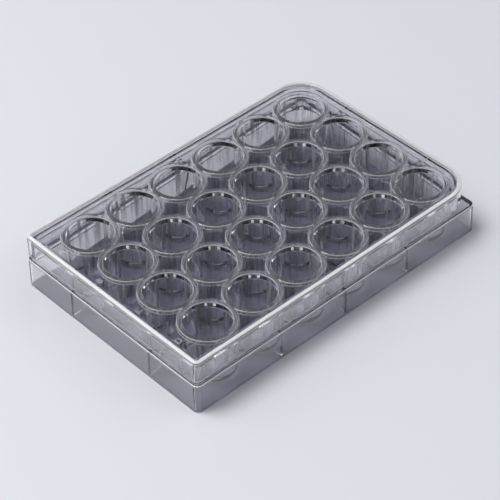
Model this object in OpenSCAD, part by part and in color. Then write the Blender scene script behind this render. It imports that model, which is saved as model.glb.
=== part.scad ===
// Multiwell culture plate with its lid on, moulded in clear polystyrene.
// The plate stands on z = 0 and the origin is at the middle of its footprint.
// The two rounded upper corners are at +X, the two tight ones at -X.

/* [Footprint] */
// Length of the base skirt at the bench, along X
plate_length = 127.76; // [120:0.01:154]
// Width of the base skirt at the bench, along Y
plate_width = 85.48; // [80:0.01:103]
// Radius of the four corners of the base skirt
base_corner_r = 2.3; // [1.8:0.1:4]
// Height of the ledge that runs round the base skirt
ledge_height = 11.6; // [9:0.1:13]
// How far the skirt leans in from the bench to the ledge
skirt_draft = 0.1; // [0:0.05:0.4]
// Wall thickness of the base skirt, the ledge and the upper wall
plate_wall = 1.2; // [0.8:0.1:1.5]

/* [Wells] */
// Number of well columns along X
columns = 6; // [2:1:6]
// Number of well rows along Y
rows = 4; // [2:1:4]
// Distance between neighbouring well centres
well_pitch = 19.3; // [18.9:0.1:20.2]
// Shift of the whole grid of wells towards +X
grid_shift = 1.8; // [0:0.1:2]
// Bore of a well at its mouth
well_mouth_d = 16.3; // [13:0.1:16.6]
// Bore of a well at its floor
well_floor_d = 15.6; // [12:0.1:16]
// Depth of a well from its rim to its floor
well_depth = 17.4; // [14:0.1:17.6]
// Wall thickness of a well
well_wall = 1.1; // [0.8:0.05:1.3]
// Thickness of a well's floor
well_floor = 1.2; // [0.8:0.1:1.4]
// Roundness of the inner edge of a well's mouth
mouth_round = 0.35; // [0.1:0.05:0.5]
// Outer diameter of the raised ring round a well's mouth
rim_d = 19.9; // [19.4:0.1:20.2]
// Height of that ring above the deck
rim_rise = 1.4; // [0.6:0.1:2]

/* [Deck] */
// Height of the plate without its lid, from the bench to the well rims
plate_height = 19.9; // [19.6:0.1:24]
// Thickness of the deck between the wells
deck_thickness = 1.2; // [0.8:0.1:1.6]
// Height of the border wall above the well rims
border_rise = 0.2; // [0.1:0.1:1]

/* [Ribs] */
// Thickness of a stiffening rib under the deck
rib_thickness = 1; // [0.6:0.1:1.4]
// Width of a rib at its foot
rib_foot = 4; // [2:0.1:4.6]
// Width of a rib where it meets the deck
rib_head = 7; // [4:0.1:7.5]
// Height of a rib's foot above the bench
rib_clearance = 1; // [0.5:0.1:3]
// Distance between neighbouring ribs along a long side
long_rib_pitch = 28.95; // [20:0.05:32]

/* [Gate marks] */
// Diameter of the dimple under each well where the plastic went in
gate_dimple_d = 5; // [3:0.1:7]
// Depth of the dimple
gate_dimple_depth = 0.3; // [0.1:0.05:0.5]
// Diameter of the broken nib in the dimple
gate_nib_d = 1.2; // [0.8:0.1:2]

/* [Lid] */
// How far the lid stands in from the edge of the footprint
lid_inset = 0.4; // [0.2:0.05:0.8]
// Thickness of the lid's skirt
lid_wall = 1.1; // [0.8:0.1:1.4]
// Thickness of the lid's flat top
lid_top = 1; // [0.8:0.1:1.4]
// Gap between the lid's skirt and the plate's upper wall
lid_clearance = 0.5; // [0.3:0.1:0.8]
// Gap between the lower edge of the lid and the ledge
lid_lift = 1.4; // [0.4:0.1:2.4]
// Radius of the lid's two tight corners, at -X
lid_tight_r = 1.9; // [1.4:0.1:3.5]
// Radius of the lid's two wide corners, at +X
lid_wide_r = 11.6; // [6:0.1:14]
// Height of the stacking rim above the lid's top
stack_rise = 0.5; // [0.3:0.1:2]
// Width of the stacking rim
stack_width = 1.3; // [0.8:0.1:2]

/* [Hidden] */

clear_tint = [0.93, 0.94, 0.97, 0.5];
curve = 96;            // facets of a full turn on bores and corners
over = 0.5;            // how far a cut runs past the face that it opens
smallest_r = 0.6;      // least radius of a corner that is moved inwards
foot_round = 0.6;      // rounding round the foot of a well, outside
floor_round = 0.3;     // rounding between a well's floor and its wall, inside
rim_round = 0.3;       // softening of the raised ring's upper edge
rib_slope = 1.2;       // bevel at the free lower corner of a rib

deck_top = plate_height - rim_rise;
deck_under = deck_top - deck_thickness;
border_top = plate_height + border_rise;
well_floor_z = plate_height - well_depth;
well_under_z = well_floor_z - well_floor;
wall_inset = lid_inset + lid_wall + lid_clearance;      // footprint to upper wall
lid_low = ledge_height + lid_lift;
lid_under = border_top;                                 // the lid rests on the border wall
lid_high = lid_under + lid_top;

// ---- Outlines ----

// Rectangle with one corner radius at -X and another at +X.
module outline(length, width, tight_r, wide_r) {
    for (side = [-1, 1]) {
        translate([-length / 2 + tight_r, side * (width / 2 - tight_r)]) circle(r = tight_r, $fn = curve);
        translate([length / 2 - wide_r, side * (width / 2 - wide_r)]) circle(r = wide_r, $fn = curve);
    }
    translate([-length / 2, -width / 2 + tight_r]) square([tight_r, width - 2 * tight_r]);
    translate([-length / 2 + tight_r, -width / 2]) square([length - tight_r - wide_r, width]);
    translate([length / 2 - wide_r, -width / 2 + wide_r]) square([wide_r, width - 2 * wide_r]);
}

// The lid's outer outline, moved in by a distance.
module lid_outline(inset) {
    outline(
        plate_length - 2 * (lid_inset + inset), plate_width - 2 * (lid_inset + inset),
        max(lid_tight_r - inset, smallest_r), max(lid_wide_r - inset, smallest_r)
    );
}

// The plate's upper wall follows the lid from inside.
module upper_outline(inset) {
    lid_outline(lid_wall + lid_clearance + inset);
}

// Solid of the base skirt's outer faces: it leans in as it rises.
module skirt_block() {
    linear_extrude(
        height = ledge_height,
        scale = [1 - 2 * skirt_draft / plate_length, 1 - 2 * skirt_draft / plate_width]
    ) outline(plate_length, plate_width, base_corner_r, base_corner_r);
}

// Hollow under the ledge, with straight walls.
module skirt_hollow() {
    inset = skirt_draft + plate_wall;
    inner_r = max(base_corner_r - inset, smallest_r);
    translate([0, 0, -over]) linear_extrude(ledge_height - plate_wall + over)
        outline(plate_length - 2 * inset, plate_width - 2 * inset, inner_r, inner_r);
}

// ---- Wells ----

module at_each_well() {
    for (column = [0 : columns - 1], row = [0 : rows - 1])
        translate([
            (column - (columns - 1) / 2) * well_pitch + grid_shift,
            (row - (rows - 1) / 2) * well_pitch, 0
        ]) children();
}

// Outside of one well: a tapered tube with a closed floor and a rounded foot.
module well_outside() {
    foot_r = well_floor_d / 2 + well_wall;
    head_r = well_mouth_d / 2 + well_wall;
    rotate_extrude($fn = curve) polygon([
        [0, well_under_z],
        [foot_r - foot_round, well_under_z],
        [foot_r - foot_round * 0.3, well_under_z + foot_round * 0.3],
        [foot_r, well_under_z + foot_round],
        [head_r, deck_top],
        [0, deck_top]
    ]);
}

// Raised ring round one mouth, with a softened upper edge.
module well_ring() {
    rotate_extrude($fn = curve) polygon([
        [0, deck_under],
        [rim_d / 2, deck_under],
        [rim_d / 2, plate_height - rim_round],
        [rim_d / 2 - rim_round * 0.3, plate_height - rim_round * 0.3],
        [rim_d / 2 - rim_round, plate_height],
        [0, plate_height]
    ]);
}

// Bore of one well, with its mouth rounded outwards.
module well_bore() {
    floor_r = well_floor_d / 2;
    mouth_r = well_mouth_d / 2;
    steps = 4;
    mouth = [for (k = [0 : steps]) let (a = 90 * k / steps) [
        mouth_r + mouth_round * (1 - cos(a)),
        plate_height - mouth_round + mouth_round * sin(a)
    ]];
    rotate_extrude($fn = curve) polygon(concat(
        [[0, well_floor_z], [floor_r - floor_round, well_floor_z], [floor_r, well_floor_z + floor_round]],
        mouth,
        [[mouth_r + mouth_round, plate_height + over], [0, plate_height + over]]
    ));
}

// Dimple under one well, with the nib that is left where the gate broke off.
module gate_dimple() {
    difference() {
        translate([0, 0, well_under_z - over])
            cylinder(d = gate_dimple_d, h = over + gate_dimple_depth, $fn = curve);
        translate([0, 0, well_under_z - gate_dimple_depth / 2])
            cylinder(d = gate_nib_d, h = 2 * gate_dimple_depth + over, $fn = 32);
    }
}

// ---- Ribs ----

// One rib, standing in the XZ plane at the -X wall and reaching inwards along +X.
module rib() {
    wall_x = wall_inset + plate_wall / 2;
    skirt_x = skirt_draft + plate_wall / 2;
    foot_x = skirt_draft + plate_wall + rib_foot;
    head_x = wall_inset + rib_head;
    translate([0, rib_thickness / 2, 0]) rotate([90, 0, 0]) linear_extrude(rib_thickness) polygon([
        [skirt_x, rib_clearance],
        [foot_x - rib_slope, rib_clearance],
        [foot_x, rib_clearance + rib_slope],
        [head_x, deck_under + deck_thickness / 2],
        [wall_x, deck_under + deck_thickness / 2],
        [wall_x, ledge_height - plate_wall / 2],
        [skirt_x, ledge_height - plate_wall / 2]
    ]);
}

module ribs() {
    // short sides: one rib between each outer pair of rows
    for (side = [0, 1], k = [-1, 1])
        mirror([side, 0, 0]) translate([-plate_length / 2, k * well_pitch, 0]) rib();
    // long sides: one rib in the middle and one to either side
    for (side = [0, 1], k = [-1, 0, 1])
        mirror([0, side, 0])
            translate([grid_shift + k * long_rib_pitch, -plate_width / 2, 0]) rotate([0, 0, 90]) rib();
}

// ---- The two pieces ----

module plate() {
    color(clear_tint) difference() {
        union() {
            // base skirt and ledge
            difference() {
                skirt_block();
                skirt_hollow();
                linear_extrude(ledge_height + over) upper_outline(plate_wall);
            }
            // upper wall and deck
            difference() {
                translate([0, 0, ledge_height - plate_wall])
                    linear_extrude(border_top - ledge_height + plate_wall) upper_outline(0);
                translate([0, 0, ledge_height - plate_wall - over])
                    linear_extrude(deck_under - ledge_height + plate_wall + over) upper_outline(plate_wall);
                translate([0, 0, deck_top]) linear_extrude(border_rise + rim_rise + over) upper_outline(plate_wall);
            }
            at_each_well() {
                well_outside();
                well_ring();
            }
            ribs();
        }
        at_each_well() {
            well_bore();
            gate_dimple();
        }
    }
}

module lid() {
    color(clear_tint) difference() {
        translate([0, 0, lid_low]) linear_extrude(lid_high + stack_rise - lid_low) lid_outline(0);
        translate([0, 0, lid_low - over]) linear_extrude(lid_under - lid_low + over) lid_outline(lid_wall);
        translate([0, 0, lid_high]) linear_extrude(stack_rise + over) lid_outline(stack_width);
    }
}

plate();
lid();
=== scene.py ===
import bmesh
import bpy
import numpy as np
from mathutils import Matrix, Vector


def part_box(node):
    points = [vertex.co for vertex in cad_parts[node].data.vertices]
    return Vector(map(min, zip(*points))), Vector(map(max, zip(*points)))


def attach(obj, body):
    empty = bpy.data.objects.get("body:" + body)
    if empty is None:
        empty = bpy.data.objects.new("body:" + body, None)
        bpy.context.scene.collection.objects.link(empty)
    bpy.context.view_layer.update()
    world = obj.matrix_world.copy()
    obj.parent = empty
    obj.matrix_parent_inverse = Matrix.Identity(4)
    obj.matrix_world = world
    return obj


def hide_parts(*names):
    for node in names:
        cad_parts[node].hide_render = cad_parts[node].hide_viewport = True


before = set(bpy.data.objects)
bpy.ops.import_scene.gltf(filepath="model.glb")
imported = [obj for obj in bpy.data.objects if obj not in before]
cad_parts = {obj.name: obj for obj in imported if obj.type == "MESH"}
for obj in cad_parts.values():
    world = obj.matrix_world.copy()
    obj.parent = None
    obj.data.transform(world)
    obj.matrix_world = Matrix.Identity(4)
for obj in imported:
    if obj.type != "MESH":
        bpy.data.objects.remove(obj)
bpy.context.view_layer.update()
MM = 0.001  # sizes below are in millimetres, and a mesh is turned to metres as it is made


# ---- Plate -------------------------------------------------------------------------------------
# The plate is one injection moulding in clear general-purpose polystyrene. A thin skirt carries a
# ledge, an upper wall and a deck, wells hang from the deck as round cups, and thin ribs brace the skirt.
# The edges of the shell and the wells are softened a little, as in a polished mould.

PLATE_LOW, PLATE_HIGH = (np.array(corner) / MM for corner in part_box("plate"))
LID_LOW, LID_HIGH = (np.array(corner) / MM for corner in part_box("lid"))
LENGTH, WIDTH = (PLATE_HIGH - PLATE_LOW)[:2]

BASE_CORNER = 2.3           # radius of the skirt's corners
LEAST_CORNER = 0.6          # a corner that is moved inwards keeps at least this radius
WALL = 1.2                  # skirt, ledge, upper wall and deck
SKIRT_DRAFT = 0.1           # lean of the skirt from the bench to the ledge
LEDGE_Z = 11.6
LID_INSET = PLATE_HIGH[0] - LID_HIGH[0]
WALL_INSET = LID_INSET + 1.6    # outer face of the upper wall, from the edge of the footprint
INNER_INSET = WALL_INSET + WALL
WIDE_CORNER = 12.0          # radius at +X that the lid and the upper wall would have at the footprint
BORDER_Z = PLATE_HIGH[2] - 0.03     # a hair under the lid, which rests here
RIM_Z = 19.9                # rims of the wells
DECK_Z = 18.5
DECK_UNDER_Z = DECK_Z - WALL
DECK_MIDDLE_Z = (DECK_Z + DECK_UNDER_Z) / 2

PITCH = 19.3
GRID_SHIFT = 1.8            # the grid of wells stands nearer to the +X end
COLUMNS, ROWS = 6, 4
MOUTH_R, FLOOR_R = 8.15, 7.8
FLOOR_Z = 2.5
UNDER_Z = 1.3               # outside of the wells' floors
WELL_WALL = 1.1
RIM_R = 10.0                # outside of the raised ring round a mouth
MOUTH_FLARE = 0.25          # how far a mouth opens out at its rim
AROUND = 64                 # steps round a well
ALONG_CORNER = 14           # steps round a corner of the plate or the lid
ALONG_FILLET = 4            # steps round a softened edge


def softened(points):
    """Polyline whose corners are turned to arcs: a row is (across, up, radius). The arc touches both
    sides at radius / tan(half the corner's angle) from the corner, and its centre lies on the bisector.
    A spoke from that centre is the sine-weighted mean of the first and the last one."""
    points = np.array(points, float)
    out = [points[0, :2]]
    for before, here, after in zip(points[:-2], points[1:-1], points[2:]):
        corner, radius = here[:2], here[2]
        if radius == 0:
            out.append(corner)
            continue
        back = (before[:2] - corner) / np.linalg.norm(before[:2] - corner)
        on = (after[:2] - corner) / np.linalg.norm(after[:2] - corner)
        half = np.arccos(np.clip(back @ on, -1, 1)) / 2
        middle = corner + (back + on) / np.linalg.norm(back + on) * radius / np.sin(half)
        start, end = (corner + side * radius / np.tan(half) - middle for side in (back, on))
        whole = np.pi - 2 * half
        for share in np.linspace(0, 1, ALONG_FILLET + 1):
            spoke = start * np.sin((1 - share) * whole) + end * np.sin(share * whole)
            out.append(middle + spoke / np.sin(whole))
    out.append(points[-1, :2])
    return np.array(out)


def swept_round(profile, wide_corner):
    """Rings of a rectangle with quarter-circle corners, one ring for each (inset, height) of the
    profile. A corner's centre lies one radius in from both sides, and the radius falls with the inset."""
    inset, height = profile.T[:, :, None, None]
    corners = np.array([[1, -1, -90], [1, 1, 0], [-1, 1, 90], [-1, -1, 180]])   # sides and first angle
    side_x, side_y, start = corners.T[:, None, :, None]
    turn = np.radians(start + np.linspace(0, 90, ALONG_CORNER + 1))
    radius = np.maximum(np.where(side_x > 0, wide_corner, BASE_CORNER) - inset, LEAST_CORNER)
    x = side_x * (LENGTH / 2 - inset - radius) + radius * np.cos(turn)
    y = side_y * (WIDTH / 2 - inset - radius) + radius * np.sin(turn)
    return np.stack([x, y, height + 0 * x], -1).reshape(len(profile), -1, 3)


def turned(profile, centres):
    """Rings of turned shapes, (radius cos a, radius sin a, height) for each (radius, height) of the
    profile, one stack of rings for each centre."""
    turn = np.linspace(0, 2 * np.pi, AROUND, endpoint=False)
    radius, height = profile.T[:, :, None]
    ring = np.stack([radius * np.cos(turn), radius * np.sin(turn), height + 0 * turn], -1)
    place = np.concatenate([centres, np.zeros((len(centres), 1))], 1)
    return ring[None] + place[:, None, None, :]


def closed_shell(name, stacks):
    """Mesh of one or more closed stacks of rings, shaped (stack, ring, point, 3). Quads join each ring
    to the next, and one flat face closes each end. The volume's sign says which way the faces point."""
    count, rings, around = stacks.shape[:3]
    index = np.arange(count * rings * around).reshape(count, rings, around)
    step = np.roll(index, -1, 2)
    quads = np.stack([index[:, :-1], step[:, :-1], step[:, 1:], index[:, 1:]], -1).reshape(-1, 4)
    ends = np.concatenate([index[:, 0, ::-1], index[:, -1]])
    points = stacks.reshape(-1, 3)
    a, b, c, d = points[quads].transpose(1, 0, 2)
    first, second, third = points[ends[:, :1]], points[ends[:, 1:-1]], points[ends[:, 2:]]
    volume = (np.cross(a, b) * c + np.cross(a, c) * d).sum() + (np.cross(first, second) * third).sum()
    if volume < 0:
        quads, ends = quads[:, ::-1], ends[:, ::-1]
    mesh = bpy.data.meshes.new(name)
    mesh.from_pydata((points * MM).tolist(), [], quads.tolist() + ends.tolist())
    piece = bpy.data.objects.new(name, mesh)
    bpy.context.collection.objects.link(piece)
    return piece


def combined(piece, *steps):
    """Adds or cuts each helper solid in turn. The result becomes the piece's own mesh, and the helpers are
    removed."""
    for operation, helper in steps:
        step = piece.modifiers.new(helper.name, "BOOLEAN")
        step.solver = "MANIFOLD"
        step.operation = operation
        step.object = helper
    bpy.context.view_layer.update()
    done = piece.evaluated_get(bpy.context.evaluated_depsgraph_get())
    mesh = bpy.data.meshes.new_from_object(done)
    mesh.materials.clear()
    piece.modifiers.clear()
    piece.data = mesh
    for _, helper in steps:
        bpy.data.objects.remove(helper)
    return piece


def polished(piece):
    """Smooth shading across turns of up to 34 degrees and crisp shading across real edges. Normals are
    weighted by area, so that flat faces stay flat beside a softened edge."""
    piece.data.shade_smooth()
    piece.data.set_sharp_from_angle(angle=np.radians(34))
    even = piece.modifiers.new("flat_faces_stay_flat", "WEIGHTED_NORMAL")
    even.keep_sharp = True
    even.weight = 100
    return piece


def finished_faces(piece, rule, *materials):
    """Gives the piece its materials, and each face the one that rule(place, levelness) numbers. Place is
    the face's middle, and levelness is the upright part of its normal: 0 on a wall, 1 on a flat."""
    faces = piece.data.polygons
    place, normal = np.empty((2, len(faces), 3))
    for name, store in (("center", place), ("normal", normal)):
        flat = np.empty(len(faces) * 3)
        faces.foreach_get(name, flat)
        store[:] = flat.reshape(-1, 3)
    for material in materials:
        piece.data.materials.append(material)
    faces.foreach_set("material_index", rule(place / MM, np.abs(normal[:, 2])).astype(np.int32))


# The shell: deck, border, upper wall and ledge from the top, then the skirt, then up the inside. Each
# row of a profile is the distance in from the footprint's edge, the height and the softening radius.
above = softened([
    (INNER_INSET + 1.0, DECK_Z, 0),
    (INNER_INSET, DECK_Z, 0.3),
    (INNER_INSET, BORDER_Z, 0.2),
    (WALL_INSET, BORDER_Z, 0.2),
    (WALL_INSET, LEDGE_Z, 0.3),
    (WALL_INSET - 0.6, LEDGE_Z, 0),
])
skirt = softened([
    (SKIRT_DRAFT + 0.5, LEDGE_Z, 0),
    (SKIRT_DRAFT, LEDGE_Z, 0.3),
    (0, 0, 0.2),
    (SKIRT_DRAFT + WALL, 0, 0.2),
    (SKIRT_DRAFT + WALL, LEDGE_Z - WALL, 0.3),
    (SKIRT_DRAFT + WALL + 0.4, LEDGE_Z - WALL, 0),
])
inside = softened([
    (INNER_INSET - 0.6, LEDGE_Z - WALL, 0),
    (INNER_INSET, LEDGE_Z - WALL, 0.3),
    (INNER_INSET, DECK_UNDER_Z, 0.3),
    (INNER_INSET + 1.0, DECK_UNDER_Z, 0),
])
shell_rings = np.concatenate([
    swept_round(above, WIDE_CORNER), swept_round(skirt, BASE_CORNER), swept_round(inside, WIDE_CORNER)
])
plate = closed_shell("plate_moulding", shell_rings[None])

# The wells: a cup with its raised ring is added, then the bore and the mark of the gate are cut. Even
# and odd cups go in apart, because neighbouring rings overlap a little. A profile starts and ends short
# of the axis, where a flat face closes it.
GATE_R, GATE_DEPTH = 1.7, 0.5   # the dimple where the plastic went in
GATE_FLARE = 0.2                # how far the cutter opens out down to its lower end, below the well
NIB_R, NIB_GAP = 0.5, 0.02      # the broken nib in its middle stops just short of the well's underside
column, row = np.meshgrid(np.arange(COLUMNS), np.arange(ROWS), indexing="ij")
centres = np.stack([
    (column - (COLUMNS - 1) / 2) * PITCH + GRID_SHIFT, (row - (ROWS - 1) / 2) * PITCH
], -1).reshape(-1, 2)
chequer = ((column + row) % 2).reshape(-1)
cup = softened([
    (5, UNDER_Z, 0),
    (FLOOR_R + WELL_WALL, UNDER_Z, 0.6),
    (MOUTH_R + WELL_WALL, DECK_UNDER_Z, 0.25),
    (RIM_R - 0.2, DECK_UNDER_Z + 0.02, 0),
    (RIM_R + 0.3, DECK_Z - 0.02, 0),
    (RIM_R, DECK_Z, 0.2),
    (RIM_R, RIM_Z, 0.35),
    (MOUTH_R + MOUTH_FLARE, RIM_Z, 0),
])
bore = softened([
    (6, FLOOR_Z, 0),
    (FLOOR_R, FLOOR_Z, 0.4),
    (MOUTH_R, RIM_Z - 0.2, 0.12),
    (MOUTH_R + MOUTH_FLARE, RIM_Z + 0.01, 0),
    (MOUTH_R + MOUTH_FLARE, RIM_Z + 1, 0),
])
gate = softened([
    (GATE_R + GATE_FLARE, UNDER_Z - 1, 0),
    (GATE_R, UNDER_Z + GATE_DEPTH, 0.1),
    (2 * NIB_R, UNDER_Z + GATE_DEPTH, 0.2),
    (NIB_R, UNDER_Z + 0.05, 0.1),
    (0.15, UNDER_Z + NIB_GAP, 0),
])

# The ribs: thin upright fins from the skirt in under the deck, two on each short side and three on each
# long one. A row of the fin's outline is the distance in from the footprint's edge and the height.
RIB_THICKNESS = 1.0
RIB_FOOT_Z = 1.0
RIB_FOOT, RIB_BEVEL = 4.0, 1.2  # width at the foot, inside the skirt, and the bevel at its free corner
RIB_REACH = WALL_INSET + 7  # from the edge of the footprint to the rib's inner end, under the deck
SHORT_SIDE_RIBS = PITCH * np.array([-1, 1])
LONG_SIDE_RIBS = GRID_SHIFT + 1.5 * PITCH * np.array([-1, 0, 1])
fin = np.array([
    (SKIRT_DRAFT + WALL / 2, RIB_FOOT_Z),
    (SKIRT_DRAFT + WALL + RIB_FOOT - RIB_BEVEL, RIB_FOOT_Z),
    (SKIRT_DRAFT + WALL + RIB_FOOT, RIB_FOOT_Z + RIB_BEVEL),
    (RIB_REACH, DECK_MIDDLE_Z),
    (WALL_INSET + WALL / 2, DECK_MIDDLE_Z),
    (WALL_INSET + WALL / 2, LEDGE_Z - WALL / 2),
    (SKIRT_DRAFT + WALL / 2, LEDGE_Z - WALL / 2),
])
reach, up = fin.T
across = RIB_THICKNESS / 2 * np.array([-1, 1])[:, None]
fins = []
for side in (-1, 1):
    for place in SHORT_SIDE_RIBS:
        fins.append(np.stack(np.broadcast_arrays(side * (LENGTH / 2 - reach), place + side * across, up), -1))
    for place in LONG_SIDE_RIBS:
        fins.append(np.stack(np.broadcast_arrays(place - side * across, side * (WIDTH / 2 - reach), up), -1))


# The row letters: plain capitals, raised from the deck between its border and the first column of wells.
LETTER_SIZE = 3.2           # height of the font's body, whose capitals are about 2.3 high
LETTER_RISE = 0.25
LETTER_X = -LENGTH / 2 + INNER_INSET + 2.0
ROW_Y = PITCH * np.array([1.5, 0.5, -0.5, -1.5])    # row A is the one at +Y


def raised_letter(letter, x, y):
    """Raised letter as a closed solid: the letter's plain outline, carried as far down into the deck as
    it stands above it, with its middle at (x, y)."""
    text = bpy.data.curves.new("row_" + letter, "FONT")
    text.body = letter
    text.size = LETTER_SIZE * MM
    text.extrude = LETTER_RISE * MM
    text.align_x, text.align_y = "CENTER", "CENTER"
    outline = bpy.data.objects.new("row_" + letter, text)
    bpy.context.collection.objects.link(outline)
    bpy.context.view_layer.update()
    mesh = bpy.data.meshes.new_from_object(outline.evaluated_get(bpy.context.evaluated_depsgraph_get()))
    bpy.data.objects.remove(outline)
    mesh.transform(Matrix.Translation([x * MM, y * MM, DECK_Z * MM]))
    whole = bmesh.new()
    whole.from_mesh(mesh)
    bmesh.ops.remove_doubles(whole, verts=whole.verts, dist=0.001 * MM)
    bmesh.ops.recalc_face_normals(whole, faces=whole.faces)
    whole.to_mesh(mesh)
    whole.free()
    solid = bpy.data.objects.new("row_" + letter, mesh)
    bpy.context.collection.objects.link(solid)
    return solid


letters = [("UNION", raised_letter(letter, LETTER_X, y)) for letter, y in zip("ABCD", ROW_Y)]
combined(
    plate,
    ("UNION", closed_shell("even_cups", turned(cup, centres[chequer == 0]))),
    ("UNION", closed_shell("odd_cups", turned(cup, centres[chequer == 1]))),
    ("UNION", closed_shell("ribs", np.array(fins))),
    ("DIFFERENCE", closed_shell("bores", turned(bore, centres))),
    ("DIFFERENCE", closed_shell("gate_marks", turned(gate, centres))),
    *letters,
)
polished(plate)


def linear(code):
    """sRGB hex colour to linear light, with full opacity: the lower end is divided by 12.92, and the rest
    is ((value + 0.055) / 1.055) to the power 2.4."""
    value = np.array([int(code[k:k + 2], 16) for k in (1, 3, 5)]) / 255
    return (*np.where(value <= 0.04045, value / 12.92, ((value + 0.055) / 1.055) ** 2.4), 1.0)


def added(tree, kind, settings=None, links=None):
    """Adds a node, sets its attributes and sockets, and links the sockets that are given an output."""
    node = tree.nodes.new(kind)
    for key, value in (settings or {}).items():
        if isinstance(key, str) and hasattr(node, key):
            setattr(node, key, value)
        else:
            node.inputs[key].default_value = value
    for key, output in (links or {}).items():
        tree.links.new(output, node.inputs[key])
    return node


SLANT_LIGHT = "#767682"     # what a lamp ray keeps at a face that it meets at a slant


def polystyrene(name, tint, lamp_light, flow_mm, clearness=1.0):
    """General-purpose polystyrene from a polished mould: water clear and glossy, with a faint cool tint.
    Slow waves where the melt flowed and cooled make its reflections swim a little. Below a clearness of 1
    the skin is partly white diffuse, which paints a pale highlight where it is used. Lamp rays pass straight
    through: each face keeps lamp_light of a ray that meets it squarely, falling to SLANT_LIGHT, so that the
    piece throws the soft grey shadow of clear plastic."""
    material = bpy.data.materials.new(name)
    material.use_nodes = True
    tree = material.node_tree
    tree.nodes.clear()
    place = added(tree, "ShaderNodeTexCoord").outputs["Object"]
    flow = added(tree, "ShaderNodeTexNoise", {
        "Scale": 1 / (flow_mm * MM), "Detail": 1.0, "Roughness": 0.4,
    }, {"Vector": place})
    waves = added(tree, "ShaderNodeBump", {
        "Strength": 0.12, "Distance": 0.1 * MM,
    }, {"Height": flow.outputs["Fac"]})
    surface = added(tree, "ShaderNodeBsdfPrincipled", {
        "Base Color": linear(tint), "Roughness": 0.02, "IOR": 1.59, "Transmission Weight": clearness,
    }, {"Normal": waves.outputs["Normal"]})
    slant = added(tree, "ShaderNodeLayerWeight", {"Blend": 0.5}).outputs["Facing"]
    lost = added(tree, "ShaderNodeMapRange", {
        "From Min": 0.3, "From Max": 0.95,
    }, {"Value": slant}).outputs["Result"]
    lamp_tint = added(tree, "ShaderNodeMix", {
        "data_type": "RGBA", 6: linear(lamp_light), 7: linear(SLANT_LIGHT),
    }, {0: lost}).outputs[2]
    passing = added(tree, "ShaderNodeBsdfTransparent", None, {"Color": lamp_tint}).outputs["BSDF"]
    lamp_ray = added(tree, "ShaderNodeLightPath").outputs["Is Shadow Ray"]
    both = added(tree, "ShaderNodeMixShader", None, {0: lamp_ray, 1: surface.outputs["BSDF"], 2: passing})
    added(tree, "ShaderNodeOutputMaterial", None, {"Surface": both.outputs["Shader"]})
    return material


STREAK_WIDTH, STREAK_LENGTH = 1.6, 40   # painted reflection streaks, drawn this wide so that they show
STREAK_NOISE = (0.5, 0.68)              # the noise's values at a streak's edge and in its middle
STREAK_CLEARNESS = 0.35                 # in the middle of a streak
STREAK_FADE = (4, 14)                   # heights between which the streaks fade in


def with_painted_reflection_streaks(material):
    """Painted reflection streaks: upright pale streaks of white diffuse, in place of the bright reflections
    that run up clear walls. A noise stretched along Z is cut off low, so that most of the wall stays clear,
    and the streaks fade towards the foot."""
    tree = material.node_tree
    place = added(tree, "ShaderNodeTexCoord").outputs["Object"]
    stretched = added(tree, "ShaderNodeVectorMath", {
        "operation": "MULTIPLY",
        1: [1 / (size * MM) for size in (STREAK_WIDTH, STREAK_WIDTH, STREAK_LENGTH)],
    }, {0: place}).outputs["Vector"]
    lines = added(tree, "ShaderNodeTexNoise", {
        "Scale": 1.0, "Detail": 2.0,
    }, {"Vector": stretched}).outputs["Fac"]
    height = added(tree, "ShaderNodeSeparateXYZ", None, {"Vector": place}).outputs["Z"]
    least_clear = added(tree, "ShaderNodeMapRange", {
        "From Min": STREAK_FADE[0] * MM, "From Max": STREAK_FADE[1] * MM,
        "To Min": 1.0, "To Max": STREAK_CLEARNESS,
    }, {"Value": height}).outputs["Result"]
    clearness = added(tree, "ShaderNodeMapRange", {
        "From Min": STREAK_NOISE[0], "From Max": STREAK_NOISE[1], "To Min": 1.0,
    }, {"Value": lines, "To Max": least_clear}).outputs["Result"]
    tree.links.new(clearness, tree.nodes["Principled BSDF"].inputs["Transmission Weight"])
    return material


FLAT_FROM, WALL_UP_TO = 0.95, 0.12      # levelness of a flat and of a wall, with a softened edge between
NEAR = 0.05                             # a face this close to a place counts as being at it


def plate_finish(place, levelness):
    """0 on the polished faces, 1 on the softened edges, the skirt's foot, the gate marks and the letters,
    2 on the rims of the wells and on the ribs, and 3 on the walls of the wells."""
    flat, wall = levelness > FLAT_FROM, levelness < WALL_UP_TO
    x, y, z = place.T
    off_centre = np.linalg.norm(place[:, None, :2] - centres[None], axis=2).min(1)
    in_dimple = (z > UNDER_Z + NIB_GAP) & (z < UNDER_Z + GATE_DEPTH + NEAR)
    gate_mark = in_dimple & (off_centre < GATE_R + GATE_FLARE)
    letter = flat & (np.abs(z - DECK_Z - LETTER_RISE) < NEAR)
    edge = ~(flat | wall) | flat & (z < NEAR) | gate_mark | letter
    off_short = np.abs(y[:, None] - SHORT_SIDE_RIBS).min(1)
    off_long = np.abs(x[:, None] - LONG_SIDE_RIBS).min(1)
    near_short = (off_short < RIB_THICKNESS / 2 + NEAR) & (np.abs(x) > LENGTH / 2 - RIB_REACH)
    near_long = (off_long < RIB_THICKNESS / 2 + NEAR) & (np.abs(y) > WIDTH / 2 - RIB_REACH)
    rib = wall & (near_short | near_long) & (z < DECK_UNDER_Z)
    rim = flat & (np.abs(z - RIM_Z) < NEAR)
    well = wall & (off_centre < MOUTH_R + WELL_WALL + NEAR)
    return np.select([edge, rim | rib, well], [1, 2, 3], 0)


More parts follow.
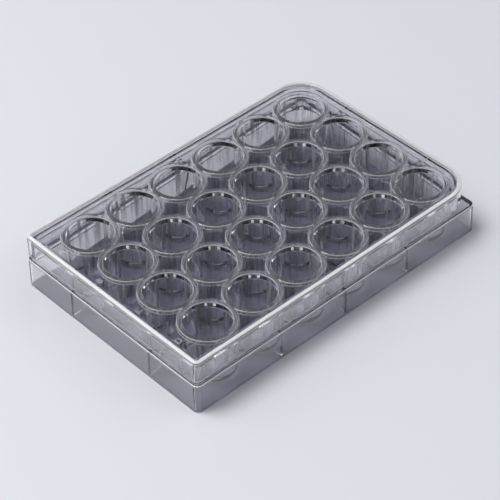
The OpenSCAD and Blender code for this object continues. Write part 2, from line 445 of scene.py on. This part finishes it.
PLATE_TINT, PLATE_LAMP_LIGHT = "#FAFAFC", "#D0D0D8"
PLATE_FLOW = 14             # from one flow wave to the next
PLATE_SKIN = (PLATE_TINT, PLATE_LAMP_LIGHT, PLATE_FLOW)
# Below a clearness of 1 the skin mixes in white diffuse: painted pale highlights on the edges, and a fainter
# painted sheen on the rims and ribs
EDGE_HIGHLIGHT_CLEARNESS, RIM_SHEEN_CLEARNESS = 0.15, 0.85
finished_faces(
    plate, plate_finish,
    # the polished faces of the mould: the eye looks straight through, and lamps show sharply
    polystyrene("polished_clear_polystyrene", *PLATE_SKIN),
    # edges, the foot, the gate marks and the letters, mostly white diffuse: fine pale outlines of painted
    # highlight
    polystyrene("painted_highlight_edge_polystyrene", *PLATE_SKIN, EDGE_HIGHLIGHT_CLEARNESS),
    # rims and ribs, with a little white diffuse: clear, with a faint painted sheen between their pale
    # outlines
    polystyrene("painted_sheen_rim_polystyrene", *PLATE_SKIN, RIM_SHEEN_CLEARNESS),
    # walls of the wells: clear, with pale upright painted reflection streaks
    with_painted_reflection_streaks(polystyrene("painted_streak_wall_polystyrene", *PLATE_SKIN)),
)
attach(plate, "root")
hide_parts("plate")


# ---- Lid ---------------------------------------------------------------------------------------
# The lid is one moulding in the same clear polystyrene. It drops loosely over the upper wall and
# rests on the border, and a low rim round its top keeps a stacked plate from sliding.

LID_UNDER_Z = PLATE_HIGH[2]
LID_TOP_Z = LID_UNDER_Z + 1.0
LID_WALL = 1.1
STACK_WIDTH = 1.3           # width of the stacking rim

lid_profile = softened([
    (LID_INSET + STACK_WIDTH + 1.0, LID_TOP_Z, 0),
    (LID_INSET + STACK_WIDTH, LID_TOP_Z, 0.2),
    (LID_INSET + STACK_WIDTH, LID_HIGH[2], 0.3),
    (LID_INSET, LID_HIGH[2], 0.55),
    (LID_INSET, LID_LOW[2], 0.25),
    (LID_INSET + LID_WALL, LID_LOW[2], 0.25),
    (LID_INSET + LID_WALL, LID_UNDER_Z, 0.35),
    (LID_INSET + LID_WALL + 1.0, LID_UNDER_Z, 0),
])
lid = closed_shell("lid_moulding", swept_round(lid_profile, WIDE_CORNER)[None])
polished(lid)


def lid_finish(place, levelness):
    """0 on the polished faces, and 1 on the softened edges, the stacking rim and the lower edge."""
    flat, wall = levelness > FLAT_FROM, levelness < WALL_UP_TO
    z = place[:, 2]
    return ~(flat | wall) | flat & ((z > LID_HIGH[2] - 0.1) | (z < LID_LOW[2] + 0.1))


LID_TINT, LID_LAMP_LIGHT = "#FBFBFD", "#F4F4F7"
LID_FLOW = 22               # longer waves, in a wide flat sheet
LID_SKIN = (LID_TINT, LID_LAMP_LIGHT, LID_FLOW)
# Below a clearness of 1 the skin mixes in white diffuse: a painted highlight line on the lid's rim and edges
LID_EDGE_HIGHLIGHT_CLEARNESS = 0.42
finished_faces(
    lid, lid_finish,
    # the thin polished sheet: hardly seen, except for what it mirrors
    polystyrene("polished_clear_lid_polystyrene", *LID_SKIN),
    # the rim and the edges, partly white diffuse: a painted bright highlight line round the lid
    polystyrene("painted_highlight_lid_edge_polystyrene", *LID_SKIN, LID_EDGE_HIGHLIGHT_CLEARNESS),
)
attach(lid, "root")
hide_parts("lid")


# ---- Studio ------------------------------------------------------------------------------------
# A pale, faintly glossy bench top in a pale room, under one high soft box and two low ones. A dark
# card stands where the flat lid would mirror the room, so that the eye sees into the plate.

BENCH_REACH = 3.0           # metres, from the middle of the bench top to each edge
bench_corners = BENCH_REACH * np.array([(-1, -1, 0), (1, -1, 0), (1, 1, 0), (-1, 1, 0)])
bench_mesh = bpy.data.meshes.new("bench_top")
bench_mesh.from_pydata(bench_corners.tolist(), [], [(0, 1, 2, 3)])
bench = bpy.data.objects.new("bench_top", bench_mesh)
bpy.context.collection.objects.link(bench)
# Pale grey laminate with a fine satin face: it gives back a soft, dim image of what stands on it.
laminate = bpy.data.materials.new("pale_laminate_bench")
laminate.use_nodes = True
satin_face = laminate.node_tree.nodes["Principled BSDF"]
satin_face.inputs["Base Color"].default_value = linear("#D9DBE0")
satin_face.inputs["Roughness"].default_value = 0.28
bench_mesh.materials.append(laminate)

# The camera looks down at the corner at -X and -Y.
AIM = np.array([-6.5, -5.28, 10]) * MM
DISTANCE = 0.7033           # metres, as all lengths below
azimuth, elevation, roll = np.radians([41.986, 41.571, -1.406])
lens = bpy.data.cameras.new("viewer")
lens.lens, lens.sensor_width = 151.6, 36.0
lens.clip_start = 0.01
viewer = bpy.data.objects.new("viewer", lens)
bpy.context.collection.objects.link(viewer)
forward = np.array([
    np.sin(azimuth) * np.cos(elevation), np.cos(azimuth) * np.cos(elevation), -np.sin(elevation)
])
level = np.array([np.cos(azimuth), -np.sin(azimuth), 0])
upward = np.cross(level, forward)
rightward = level * np.cos(roll) + upward * np.sin(roll)
upward = upward * np.cos(roll) - level * np.sin(roll)
pose = np.eye(4)
pose[:3, :3] = np.stack([rightward, upward, -forward], 1)
pose[:3, 3] = AIM - forward * DISTANCE
viewer.matrix_world = Matrix(pose.tolist())
bpy.context.scene.camera = viewer


def soft_box(name, way, wide, tall, power):
    """Soft box at LAMP_DISTANCE along way, which faces the object with its width level."""
    light = bpy.data.lights.new(name, "AREA")
    light.shape = "RECTANGLE"
    light.size, light.size_y = wide, tall
    light.energy = power
    lamp = bpy.data.objects.new(name, light)
    away = way / np.linalg.norm(way)
    side = np.cross((0, 0, 1), away)
    side /= np.linalg.norm(side)
    turn = np.eye(4)
    turn[:3, :3] = np.stack([side, np.cross(away, side), away], 1)
    turn[:3, 3] = way * LAMP_DISTANCE
    lamp.matrix_world = Matrix(turn.tolist())
    bpy.context.collection.objects.link(lamp)


# Walls and flats of clear plastic keep the steepness of a sight line, so the two low boxes stand at
# that steepness, to the viewer's right and left: their light runs along the walls and edges and leaves
# towards the viewer. The high box leans off the vertical, so that the lid doesn't mirror it straight up.
LAMP_DISTANCE = 1.1
HIGH_WAY = np.array([-0.3, 0.22, 0.93])
HIGH_SIZE, HIGH_POWER = 0.5, 9.4
LOW_WIDTH, LOW_HEIGHT, LOW_POWER = 0.6, 0.26, 1.1
card_way = forward * (1, 1, -1)
soft_box("high", HIGH_WAY, HIGH_SIZE, HIGH_SIZE, HIGH_POWER)
soft_box("low_right", card_way * (1, -1, 1), LOW_WIDTH, LOW_HEIGHT, LOW_POWER)
soft_box("low_left", card_way * (-1, 1, 1), LOW_WIDTH, LOW_HEIGHT, LOW_POWER)

# The room: its walls read as white where plastic or gloss shows them, and light the bench less than
# that. The card fades in between two cosines of the angle from its middle.
CARD_FROM, CARD_FULL = 0.95, 0.985
CARD_STRENGTH = 0.03
ROOM_LIGHT = 0.34
room = bpy.data.worlds.new("pale_room")
bpy.context.scene.world = room
room.use_nodes = True
tree = room.node_tree
tree.nodes.clear()
way = added(tree, "ShaderNodeTexCoord").outputs["Generated"]
near_card = added(tree, "ShaderNodeVectorMath", {
    "operation": "DOT_PRODUCT", 1: card_way,
}, {0: way}).outputs["Value"]
walls = added(tree, "ShaderNodeMapRange", {
    "interpolation_type": "SMOOTHSTEP", "From Min": CARD_FROM, "From Max": CARD_FULL,
    "To Min": 1.0, "To Max": CARD_STRENGTH,
}, {"Value": near_card}).outputs["Result"]
rays = added(tree, "ShaderNodeLightPath").outputs
in_plastic = added(tree, "ShaderNodeMath", {"operation": "MAXIMUM"}, {
    0: rays["Is Glossy Ray"], 1: rays["Is Transmission Ray"],
}).outputs["Value"]
strength = added(tree, "ShaderNodeMix", {"data_type": "FLOAT", "A": ROOM_LIGHT}, {
    "Factor": in_plastic, "B": walls,
}).outputs["Result"]
sky = added(tree, "ShaderNodeBackground", {"Color": linear("#F2F4FA")}, {"Strength": strength})
added(tree, "ShaderNodeOutputWorld", None, {"Surface": sky.outputs["Background"]})

# A ray crosses dozens of faces in two clear pieces, so it may take many turns.
MANY_TURNS = 32
bpy.context.scene.view_settings.view_transform = "Standard"
bpy.context.scene.cycles.max_bounces = MANY_TURNS
bpy.context.scene.cycles.transmission_bounces = MANY_TURNS
bpy.context.scene.cycles.transparent_max_bounces = MANY_TURNS
bpy.context.scene.cycles.caustics_refractive = False
bpy.context.scene.cycles.caustics_reflective = False
